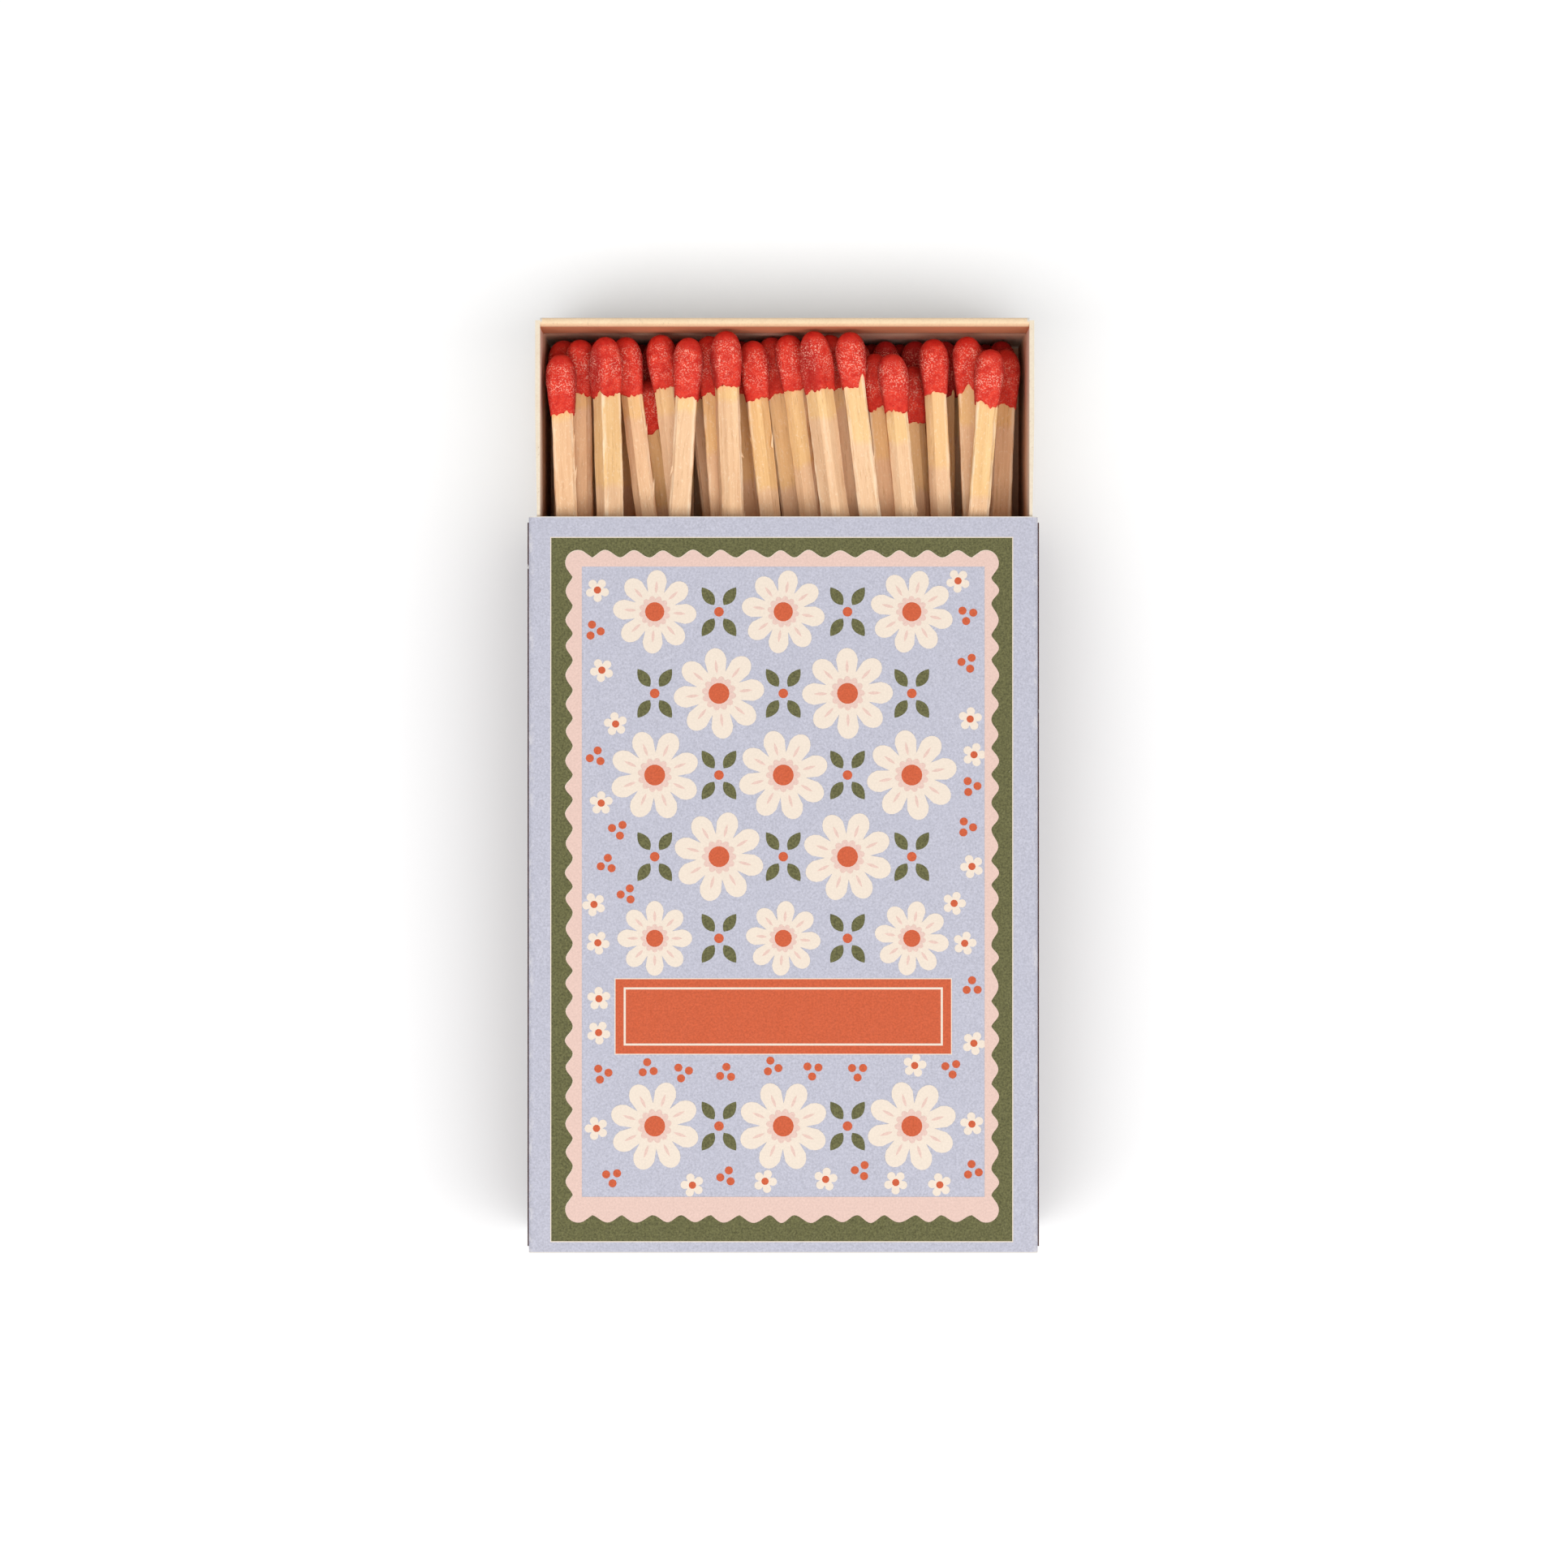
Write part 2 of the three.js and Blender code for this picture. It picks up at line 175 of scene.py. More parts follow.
def tint(color, k):
    return tuple(min(1.0, c * k) for c in color)


def card_print(name, color, chips, chip_color, vary):
    """Printed card: a fine halftone grain, faint mottling and specks where the ink has worn."""
    g = Graph(name)
    grain = g.noise(3.7, 3.0, 0.65)
    mottle = g.noise(0.35, 3.0, 0.55)
    look = g.mix(g.span(grain, 0.3, 0.7), tint(color, 1 - vary), tint(color, 1 + vary))
    look = g.mix(g.span(mottle, 0.25, 0.75, 0.0, 0.12), look, tint(color, 0.86))
    worn = g.span(g.noise(1.9, 4.0, 0.7), 0.78 - chips, 0.80 - chips)
    look = g.mix(worn, look, chip_color)
    fibre = g.noise(2.2, 4.0, 0.6, stretch=(1.0, 0.25, 1.0))
    roughness = g.span(fibre, 0.3, 0.7, 0.55, 0.75)
    height = g.math("ADD", fibre, grain)
    return g.finish(look, roughness, height, strength=0.12, distance=0.03, specular=0.12)


def sleeve_card():
    """Pale blue-grey card, rubbed at its creases, pale at its cut ends and bare inside."""
    g = Graph("sleeve_card_look")
    base = (0.489, 0.487, 0.566)
    grain = g.noise(3.7, 3.0, 0.65)
    mottle = g.noise(0.3, 3.0, 0.55)
    color = g.mix(g.span(grain, 0.3, 0.7), tint(base, 0.82), tint(base, 1.18))
    color = g.mix(g.span(mottle, 0.3, 0.7, 0.0, 0.25), color, (0.45, 0.46, 0.55))
    x, y = g.math("ABSOLUTE", g.axis("X")), g.math("ABSOLUTE", g.axis("Y"))
    z = g.axis("Z")
    upper_or_lower = g.math("MAXIMUM", g.span(z, 25.2, 25.8), g.span(z, 0.95, 0.35))
    crease = g.times(g.span(x, 33.3, 34.0), upper_or_lower)
    broken = g.span(g.noise(0.9, 4.0, 0.7, stretch=(1, 0.5, 1)), 0.5, 0.62)
    color = g.mix(g.times(crease, broken, 0.6), color, (0.74, 0.72, 0.74))
    cut_end = g.span(y, 49.22, 49.3)
    color = g.mix(cut_end, color, (0.74, 0.69, 0.62))
    inside = g.times(g.span(x, 33.86, 33.80), g.span(z, 0.3, 0.36), g.span(z, 25.9, 25.84))
    color = g.mix(inside, color, (0.58, 0.50, 0.41))
    fibre = g.noise(2.2, 4.0, 0.6, stretch=(1.0, 0.25, 1.0))
    roughness = g.span(fibre, 0.3, 0.7, 0.55, 0.78)
    height = g.math("ADD", fibre, grain)
    return g.finish(color, roughness, height, strength=0.15, distance=0.03, specular=0.15)


def tray_card():
    """Folded card: pale outside and on its rims, tan inside, with painted light on the inner walls:
    the side walls painted lighter towards the rim, a painted shadow line and a painted reflection
    of the red heads high on the end walls.
    """
    g = Graph("tray_card_look")
    grain = g.noise(3.2, 4.0, 0.65)
    mottle = g.noise(0.45, 3.0, 0.6)
    flecks = g.noise(2.2, 3.0, 0.7, stretch=(1.0, 0.4, 0.4))
    middle_x, middle_y = 0.2, 26.8
    x = g.math("ABSOLUTE", g.math("SUBTRACT", g.axis("X"), middle_x))
    y = g.math("ABSOLUTE", g.math("SUBTRACT", g.axis("Y"), middle_y))
    z = g.axis("Z")
    # Painted light and shade: the side walls are painted darker towards the floor and lighter
    # towards the rim
    side = g.mix(g.span(z, 4.0, 17.0), (0.90, 0.52, 0.32), (0.93, 0.62, 0.43))
    side = g.mix(g.span(z, 17.0, 24.0), side, (1.0, 0.84, 0.73))
    # The end walls from the floor up: two tans, a thin dark line that is a painted shadow under the
    # flap's lower edge, and a redder band that is a painted reflection of the red heads
    end = g.mix(g.span(z, 10.3, 10.7), (0.88, 0.66, 0.52), (0.95, 0.66, 0.49))
    end = g.mix(g.span(z, 17.3, 17.8), end, (0.77, 0.32, 0.17))
    # Painted shadow: a thin dark line under the flap's lower edge
    flap_shadow = g.times(g.span(z, 17.0, 17.2), g.span(z, 17.7, 17.5), 0.8)
    end = g.mix(flap_shadow, end, (0.20, 0.06, 0.04))
    color = g.mix(g.span(y, 47.9, 48.0), side, end)
    rim = g.span(z, 24.7, 25.2)
    color = g.mix(rim, color, (0.93, 0.72, 0.48))
    # A painted reflection of the red heads on the inner slope of the end walls' rolled rims
    lip_reflection = g.times(g.span(y, 48.6, 48.35), g.span(y, 48.0, 48.1), g.span(z, 25.0, 25.2), 0.55)
    color = g.mix(lip_reflection, color, (0.84, 0.46, 0.26))
    corner = g.times(g.span(x, 32.55, 32.6), g.span(y, 48.75, 48.8))
    outside = g.math("MAXIMUM", g.span(x, 33.10, 33.18), g.span(y, 49.28, 49.33))
    color = g.mix(g.math("MAXIMUM", corner, outside), color, (0.78, 0.74, 0.68))
    side_rim = g.times(g.span(z, 25.30, 25.42), g.span(x, 32.8, 32.84))
    color = g.mix(side_rim, color, (0.84, 0.75, 0.60))
    dark = g.math("MULTIPLY", g.span(grain, 0.68, 0.32), 0.16)
    color = g.mix(dark, color, (0.34, 0.18, 0.10))
    color = g.mix(g.span(mottle, 0.35, 0.7, 0.0, 0.14), color, (0.62, 0.36, 0.20))
    color = g.mix(g.span(flecks, 0.66, 0.72, 0.0, 0.35), color, (0.38, 0.22, 0.13))
    height = g.math("ADD", grain, g.math("MULTIPLY", flecks, 0.6))
    roughness = g.span(grain, 0.3, 0.7, 0.75, 0.9)
    return g.finish(color, roughness, height, strength=0.25, distance=0.05, specular=0.1)


def striker_coat():
    """Gritty brown coat, chipped to the card along the creases."""
    g = Graph("striker_look")
    grit = g.noise(4.0, 4.0, 0.75)
    patch = g.noise(0.5, 3.0, 0.6)
    color = g.mix(g.span(grit, 0.35, 0.68), (0.040, 0.013, 0.014), (0.125, 0.050, 0.050))
    color = g.mix(g.span(patch, 0.35, 0.7, 0.0, 0.4), color, (0.085, 0.031, 0.033))
    z = g.axis("Z")
    edge = g.math("MAXIMUM", g.span(z, 23.9, 24.35), g.span(z, 2.3, 1.8))
    chips = g.span(g.noise(0.33, 5.0, 0.75, stretch=(1, 1, 0.3)), 0.64, 0.68)
    color = g.mix(g.times(edge, chips), color, (0.76, 0.71, 0.67))
    roughness = g.span(grit, 0.3, 0.7, 0.85, 1.0)
    return g.finish(color, roughness, grit, strength=0.7, distance=0.12, specular=0.1)


def match_wood(name, loose):
    """Split aspen: long grain, flecks, a tone for each stick, yellower where wax soaked in."""
    g = Graph(name)
    offset, pick = g.random(37.0)
    second = g.math("FRACT", g.math("MULTIPLY", pick, 7.31))
    lines = g.noise(1.9, 4.0, 0.7, stretch=(1.0, 0.045, 1.0), offset=offset, distortion=0.2)
    broad = g.noise(0.45, 3.0, 0.5, stretch=(1.0, 0.10, 1.0), offset=offset)
    pores = g.noise(4.2, 3.0, 0.75, stretch=(1.0, 0.06, 1.0), offset=offset)
    flecks = g.noise(3.4, 3.0, 0.75, stretch=(1.0, 0.45, 1.0), offset=offset)
    color = g.mix(g.span(lines, 0.32, 0.68), (0.69, 0.37, 0.155), (0.97, 0.66, 0.36))
    color = g.mix(g.span(broad, 0.3, 0.7, 0.0, 0.4), color, (0.80, 0.45, 0.21))
    color = g.mix(g.math("MULTIPLY", pick, 0.45), color, (0.96, 0.71, 0.44))
    reach = g.math("ADD", g.span(second, 0.0, 1.0, -8.5, -21.0), g.span(broad, 0.3, 0.7, -0.6, 0.6))
    waxed = g.span(g.math("SUBTRACT", g.axis("Y"), reach), -0.5, 0.5)
    color = g.mix(g.math("MULTIPLY", waxed, 0.4), color, (0.93, 0.58, 0.22))
    color = g.mix(g.span(waxed, 1.0, 0.0, 0.0, 0.4), color, (0.86, 0.54, 0.36))
    color = g.mix(g.span(pores, 0.58, 0.70, 0.0, 0.5), color, (0.52, 0.25, 0.10))
    color = g.mix(g.span(flecks, 0.56, 0.68, 0.0, 0.45), color, (1.0, 0.80, 0.57))
    if loose:
        x, z = g.math("ABSOLUTE", g.axis("X")), g.math("ABSOLUTE", g.axis("Z"))
        corner = g.span(g.math("MINIMUM", x, z), 0.9, 1.2)
        broken = g.span(g.noise(1.6, 3.0, 0.7, stretch=(1.0, 0.2, 1.0), offset=offset), 0.40, 0.60)
        color = g.mix(g.times(corner, broken, 0.6), color, (1.0, 0.80, 0.58))
    height = g.math("ADD", lines, g.math("MULTIPLY", flecks, 0.8))
    roughness = g.span(lines, 0.3, 0.7, 0.55, 0.75)
    return g.finish(color, roughness, height, strength=0.45, distance=0.07, specular=0.15)


def match_head():
    """Dried head: orange red, pale grains, pits, a smoother, deeper tip, and painted shade
    darkening its sides.
    """
    g = Graph("match_head_look")
    offset = g.random(53.0)[0]
    lump = g.noise(1.1, 3.0, 0.6, offset=offset)
    grain = g.noise(4.9, 2.0, 0.6, offset=offset)
    bloom = g.noise(0.55, 2.0, 0.5, offset=offset)
    down = g.axis("Y")
    color = g.mix(g.span(lump, 0.3, 0.7), (0.60, 0.022, 0.014), (0.83, 0.062, 0.033))
    # Painted shade: the head's sides are painted darker where they turn away from the light
    side_shade = g.span(g.math("ABSOLUTE", g.axis("X")), 1.15, 2.1, 0.0, 0.75)
    color = g.mix(side_shade, color, (0.36, 0.008, 0.010))
    tip = g.span(down, -2.0, -0.4)
    color = g.mix(g.math("MULTIPLY", tip, 0.5), color, (0.52, 0.012, 0.011))
    along = g.times(g.span(down, -0.9, -2.0), g.span(down, -7.4, -4.6, 0.2, 1.0))
    dust = g.times(g.span(grain, 0.53, 0.61), g.span(bloom, 0.34, 0.58, 0.15, 1.0), along, 0.85)
    color = g.mix(dust, color, (0.96, 0.42, 0.32))
    pits = g.span(g.noise(3.4, 3.0, 0.7, offset=offset), 0.62, 0.68, 0.0, 0.6)
    color = g.mix(pits, color, (0.30, 0.008, 0.010))
    height = g.math("ADD", g.math("MULTIPLY", lump, 0.8), grain)
    roughness = g.span(tip, 0.0, 1.0, 0.72, 0.5)
    return g.finish(color, roughness, height, strength=0.6, distance=0.14, specular=0.15)


def seen_directly(tree):
    """1 for camera, glossy and transmission rays, and 0 for the rays that carry light."""
    path = tree.nodes.new("ShaderNodeLightPath")
    seen_by = path.outputs["Is Camera Ray"]
    for ray in ("Is Glossy Ray", "Is Transmission Ray"):
        either = tree.nodes.new("ShaderNodeMath")
        either.operation = "MAXIMUM"
        tree.links.new(seen_by, either.inputs[0])
        tree.links.new(path.outputs[ray], either.inputs[1])
        seen_by = either.outputs[0]
    return seen_by


def floor_white():
    """Pale floor: seen as plain white far from the object, while near it the shadows stay."""
    g = Graph("floor_white")
    material = g.finish((0.97, 0.97, 0.97), 0.9, specular=0.0)
    x2, y2 = g.math("POWER", g.axis("X"), 2.0), g.math("POWER", g.axis("Y"), 2.0)
    far = g.span(g.math("SQRT", g.math("ADD", x2, y2)), 220.0, 600.0)
    white = g.tree.nodes.new("ShaderNodeEmission")
    blend = g.tree.nodes.new("ShaderNodeMixShader")
    g.put(g.times(seen_directly(g.tree), far), blend.inputs[0])
    g.tree.links.new(g.shader.outputs[0], blend.inputs[1])
    g.tree.links.new(white.outputs[0], blend.inputs[2])
    g.tree.links.new(blend.outputs[0], g.out.inputs[0])
    return material


LOOKS = {
    "sleeve_card": sleeve_card(),
    "tray_card": tray_card(),
    "striker": striker_coat(),
    "match_wood": match_wood("match_wood_look", loose=True),
    "match_head": match_head(),
    "olive_ink": card_print(
        "olive_ink_look", (0.128, 0.124, 0.052),
        chips=0.045, chip_color=(0.47, 0.45, 0.38), vary=0.45,
    ),
    "pink_ink": card_print(
        "pink_ink_look", (0.744, 0.535, 0.467),
        chips=0.02, chip_color=(0.78, 0.74, 0.74), vary=0.09,
    ),
    "red_ink": card_print(
        "red_ink_look", (0.577, 0.111, 0.046),
        chips=0.03, chip_color=(0.70, 0.45, 0.38), vary=0.18,
    ),
    "cream_ink": card_print(
        "cream_ink_look", (0.80, 0.694, 0.587),
        chips=0.0, chip_color=(0.80, 0.76, 0.72), vary=0.05,
    ),
}
bed_wood = match_wood("match_bed_wood_look", loose=False)


def piece(name, mesh, slot, body, smooth=False, look=None):
    obj = bpy.data.objects.new(name, mesh)
    bpy.context.scene.collection.objects.link(obj)
    mesh.materials.clear()
    mesh.materials.append(look or LOOKS[slot])
    for polygon in mesh.polygons:
        polygon.use_smooth = smooth
        polygon.material_index = 0
    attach(obj, body)
    return obj


CAD_SLOTS = {"sleeve": "sleeve_card", "striker_left": "striker", "striker_right": "striker"}
for node, slot in CAD_SLOTS.items():
    nodes[node].data.materials.clear()
    nodes[node].data.materials.append(LOOKS[slot])
    for polygon in nodes[node].data.polygons:
        polygon.material_index = 0


HALF_CARD = 0.2 * MM
SPRING = 0.25 * MM  # How far the side walls' outer skin stands out at the rim


def sprung_tray():
    """The tray's card, its side walls sprung outwards where they stand clear of the sleeve."""
    low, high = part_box("tray")
    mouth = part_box("sleeve")[1].y
    middle = (low.x + high.x) / 2
    skin = (high.x - low.x) / 2 - HALF_CARD
    mesh = nodes["tray"].data.copy()
    bm = bmesh.new()
    bm.from_mesh(mesh)
    for share in (0.05, 0.15, 0.3, 0.5):
        cut = (0, mouth + (high.y - mouth) * share, 0)
        everything = bm.verts[:] + bm.edges[:] + bm.faces[:]
        bmesh.ops.bisect_plane(bm, geom=everything, plane_co=cut, plane_no=(0, 1, 0))
    for v in bm.verts:
        along = min(1.0, max(0.0, (v.co.y - mouth) / (high.y - mouth) * 2))
        if abs(v.co.x - middle) > skin:
            out = SPRING * along * (v.co.z - low.z) / (high.z - low.z)
            v.co.x += math.copysign(out, v.co.x - middle)
    bm.to_mesh(mesh)
    bm.free()
    return mesh


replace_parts(piece("tray_folded", sprung_tray(), "tray_card", "tray_body"), "tray")

card_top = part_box("sleeve")[1].z


def ink(name, loops, level, slot, replaced=()):
    """Closed loops, filled flat and one film thick. A loop inside a loop is a hole."""
    curve = bpy.data.curves.new(name, "CURVE")
    curve.dimensions = "2D"
    curve.fill_mode = "BOTH"
    curve.extrude = INK / 2
    for loop in loops:
        spline = curve.splines.new("POLY")
        spline.points.add(len(loop) - 1)
        for point, (x, y) in zip(spline.points, loop):
            point.co = (x, y, 0, 1)
        spline.use_cyclic_u = True
    holder = bpy.data.objects.new(name + "_curve", curve)
    bpy.context.scene.collection.objects.link(holder)
    dg = bpy.context.evaluated_depsgraph_get()
    mesh = bpy.data.meshes.new_from_object(holder.evaluated_get(dg))
    bpy.data.objects.remove(holder)
    mesh.transform(Matrix.Translation((0, 0, card_top + INK * (level + 0.5))))
    obj = piece(name, mesh, slot, "sleeve_body")
    if replaced:
        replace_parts(obj, *replaced)


def rect(x0, y0, x1, y1, grow=0.0):
    x0, y0, x1, y1 = x0 - grow, y0 - grow, x1 + grow, y1 + grow
    return [(x0, y0), (x1, y0), (x1, y1), (x0, y1)]


def moved(loop, dx, dy):
    return [(x + dx, y + dy) for x, y in loop]


def wave(x0, y0, x1, y1, pitch, depth):
    """Hand-drawn waves round the rectangle that joins their troughs, with a lobe on each corner."""
    rnd = random.Random(5)
    steps = 12
    lobe, start = 1.7 * depth, 2.6 * depth
    past = 0.44  # Radians by which each end of a lobe goes beyond its quarter circle
    corners = [(x0, y0), (x1, y0), (x1, y1), (x0, y1)]
    out = []
    for k, (ax, ay) in enumerate(corners):
        bx, by = corners[(k + 1) % 4]
        length = math.hypot(bx - ax, by - ay)
        ux, uy = (bx - ax) / length, (by - ay) / length
        ox, oy = uy, -ux
        count = round((length - 2 * start) / pitch)
        step = (length - 2 * start) / count
        marks = [start + i * step for i in range(count + 1)]
        for i in range(1, count):
            marks[i] += rnd.uniform(-0.08, 0.08) * step
        for a, b in zip(marks, marks[1:]):
            tall = depth * rnd.uniform(0.92, 1.05)
            full = rnd.uniform(1.3, 2.1)
            skew = rnd.uniform(0.85, 1.18)
            for j in range(steps):
                lift = tall * math.sin(math.pi * (j / steps) ** skew) ** full
                along = a + (b - a) * j / steps
                out.append((ax + ux * along + ox * lift, ay + uy * along + oy * lift))
        out.append((bx - ux * start, by - uy * start))
        cx, cy = bx - (ux + ox) * (lobe - depth), by - (uy + oy) * (lobe - depth)
        for j in range(steps + 1):
            t = math.atan2(oy, ox) - past + (math.pi / 2 + 2 * past) * j / steps
            out.append((cx + lobe * math.cos(t), cy + lobe * math.sin(t)))
    return out


def disc(x, y, r, n=18):
    turns = [2 * math.pi * i / n for i in range(n)]
    return [(x + r * math.cos(t), y + r * math.sin(t)) for t in turns]


def petals(x, y, r, count, turn, waist, n, sharp):
    """A flower's outline. The waist is its reach between two petals, as a share of r."""
    out = []
    for i in range(count * n):
        t = 2 * math.pi * i / (count * n)
        reach = r * (waist + (1 - waist) * abs(math.cos(t * count / 2)) ** sharp)
        out.append((x + reach * math.cos(t + turn), y + reach * math.sin(t + turn)))
    return out


def leaf(x, y, length, width, turn, n=9):
    """A pointed oval that grows from x, y, a little fuller near its stalk."""
    out = []
    for side in (1, -1):
        for i in range(n):
            t = i / n if side > 0 else 1 - i / n
            half = width / 2 * math.sin(math.pi * t) ** 0.8 * (1.15 - 0.3 * t)
            px, py = t * length, side * half
            lx = x + px * math.cos(turn) - py * math.sin(turn)
            ly = y + px * math.sin(turn) + py * math.cos(turn)
            out.append((lx, ly))
    return out


# The print lies a little off the middle of the card, and its lower bands are the wider ones
OLIVE = (-31.1 * MM, -47.8 * MM, 30.7 * MM, 46.5 * MM)
TROUGHS = (-28.2 * MM, -44.3 * MM, 27.9 * MM, 43.8 * MM)
PANEL = (-27.0 * MM, -41.85 * MM, 27.0 * MM, 42.65 * MM)
HALO = 0.12 * MM
WAVE_PITCH, WAVE_DEPTH = 3.8 * MM, 1.0 * MM
panel = rect(*PANEL)
waves = wave(*TROUGHS, WAVE_PITCH, WAVE_DEPTH)
ink("print_halo", [rect(*OLIVE, HALO), panel], 0, "cream_ink")
ink("print_olive", [rect(*OLIVE), panel], 1, "olive_ink", ["print_olive_frame"])
ink("print_wave_edge", [moved(waves, -0.03 * MM, 0.07 * MM), panel], 2, "cream_ink")
ink("print_pink", [waves, panel], 3, "pink_ink", ["print_pink_border"])

low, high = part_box("print_red_band")
BAND = (low.x, low.y, high.x, high.y)
LINE_OUTER = 1.1 * MM
LINE_INNER = 1.25 * LINE_OUTER
ink("print_band_edge", [rect(*BAND, HALO)], 0, "cream_ink")
ink("print_band", [rect(*BAND)], 1, "red_ink", ["print_red_band"])
ink("print_band_line", [rect(*BAND, -LINE_OUTER), rect(*BAND, -LINE_INNER)], 2, "cream_ink")

flower_nodes = sorted(n for n in nodes if n.startswith("print_flower_"))
centres = [(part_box(n)[0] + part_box(n)[1]) / 2 for n in flower_nodes]

# The most that a flower reaches, and what it leaves bare to a neighbour and to an edge
FLOWER, FLOWER_GAP, EDGE_GAP = 6.1 * MM, 0.5 * MM, 0.45 * MM
PETALS = 8


def room(c):
    """How far a flower can reach towards its neighbours, the band and the panel's ends."""
    half = min((c - o).length / 2 for o in centres if o is not c)
    ends = min(PANEL[3] - c.y, c.y - PANEL[1], max(BAND[1] - c.y, c.y - BAND[3]))
    return min(FLOWER, half - FLOWER_GAP, ends - EDGE_GAP)


rooms = [room(c) for c in centres]
cream, rings, hearts, leaves, berries, veins, buds, bud_hearts = [], [], [], [], [], [], [], []
for i, (c, r) in enumerate(zip(centres, rooms)):
    turn = i * 0.7
    cream.append(petals(c.x, c.y, r, PETALS, turn, waist=0.5, n=10, sharp=0.5))
    for k in range(PETALS):
        a = turn + 2 * math.pi * k / PETALS
        x, y = c.x + 0.44 * r * math.cos(a), c.y + 0.44 * r * math.sin(a)
        veins.append(leaf(x, y, 0.3 * r, 0.4 * MM, a, n=5))
    rings.append(petals(c.x, c.y, 0.38 * r, 12, turn, waist=0.8, n=4, sharp=0.8))
    hearts.append(disc(c.x, c.y, 0.23 * r))


def bare(x, y, reach):
    """Whether a disc of this reach lies on the panel clear of the band and the flowers."""
    if not (PANEL[0] + reach < x < PANEL[2] - reach and PANEL[1] + reach < y < PANEL[3] - reach):
        return False
    if BAND[0] - reach < x < BAND[2] + reach and BAND[1] - reach < y < BAND[3] + reach:
        return False
    return all(math.hypot(x - c.x, y - c.y) > r + reach + 0.25 * MM for c, r in zip(centres, rooms))


def apart(x, y, others, distance):
    return all(math.hypot(x - a, y - b) > distance for a, b in others)


# A sprig of four leaves round a berry stands between two flowers of a row
SPRIG, SPRIGS_APART, SPRIG_BERRY = 2.0 * MM, 5 * MM, 0.65 * MM
STALK, LEAF, LEAF_WIDTH = 1.1 * MM, 2.9 * MM, 1.5 * MM
gap = min(abs(a.x - b.x) for i, a in enumerate(centres) for b in centres[:i] if abs(a.y - b.y) < MM)
sprigs = []
for c in centres:
    for x, y in ((c.x - gap / 2, c.y), (c.x + gap / 2, c.y)):
        if bare(x, y, SPRIG) and apart(x, y, sprigs, SPRIGS_APART):
            sprigs.append((x, y))
for x, y in sprigs:
    berries.append(disc(x, y, SPRIG_BERRY, 14))
    for a in map(math.radians, (55, 125, 235, 305)):
        leaves.append(leaf(x + STALK * math.cos(a), y + STALK * math.sin(a), LEAF, LEAF_WIDTH, a))

# Buds and berries in threes are strewn over what is still bare
SPOT, SPOTS_APART, SPOT_TO_SPRIG = 1.4 * MM, 4.2 * MM, 5.6 * MM
BUD, BUD_HEART, BERRY, BERRY_RING = 1.6 * MM, 0.5 * MM, 0.55 * MM, 0.85 * MM
TRIES = 6000
rnd = random.Random(11)
spots = []
for _ in range(TRIES):
    x, y = rnd.uniform(PANEL[0], PANEL[2]), rnd.uniform(PANEL[1], PANEL[3])
    clear = apart(x, y, spots, SPOTS_APART) and apart(x, y, sprigs, SPOT_TO_SPRIG)
    if clear and bare(x, y, SPOT):
        spots.append((x, y))
for i, (x, y) in enumerate(spots):
    if i % 2 == 0:
        buds.append(petals(x, y, BUD, 5, i, waist=0.5, n=8, sharp=0.6))
        bud_hearts.append(disc(x, y, BUD_HEART, 10))
    else:
        for k in range(3):
            a = i + 2 * math.pi / 3 * k
            at = (x + BERRY_RING * math.cos(a), y + BERRY_RING * math.sin(a))
            berries.append(disc(*at, BERRY, 12))
ink("print_flowers", cream, 2, "cream_ink", flower_nodes)
ink("print_veins", veins, 3, "pink_ink")
ink("print_flower_rings", rings, 4, "pink_ink")
ink("print_flower_hearts", hearts, 5, "red_ink")
ink("print_leaves", leaves, 0, "olive_ink")
ink("print_berries", berries, 1, "red_ink")
ink("print_buds", buds, 1, "cream_ink")
ink("print_bud_hearts", bud_hearts, 2, "red_ink")

# Down the head, and its half width, in millimetres
PROFILE = [
    (0.0, 0.0), (0.10, 0.62), (0.35, 1.08), (0.8, 1.50), (1.4, 1.82), (2.2, 2.03), (3.2, 2.10),
    (4.2, 2.05), (5.2, 1.95), (6.2, 1.84), (7.0, 1.75), (7.7, 1.68),
]
# Where its rings of points lie
DOWNS = [
    0.06, 0.2, 0.42, 0.75, 1.15, 1.6, 2.1, 2.65, 3.2,
    3.8, 4.4, 5.0, 5.6, 6.2, 6.7, 7.1, 7.4, 7.7,
]
# Heads whose coat leaves a notch of bare wood: its angle round the stick, depth and half angle
NOTCHES = {"match_26": (math.radians(52), 2.1, 0.34), "match_20": (math.radians(90), 1.3, 0.5)}
HALF_STICK = 1.5
STICK_START = 3.6  # A stick starts inside its head, this far below the tip


def profile(down):
    for (a, ra), (b, rb) in zip(PROFILE, PROFILE[1:]):
        if down <= b:
            return ra + (rb - ra) * (down - a) / (b - a)
    return PROFILE[-1][1]


def squarish(angle, power):
    """Radius of a rounded square at an angle: power 2 is a circle, and more is squarer."""
    c, s = abs(math.cos(angle)), abs(math.sin(angle))
    return 1.0 / (c**power + s**power) ** (1.0 / power)


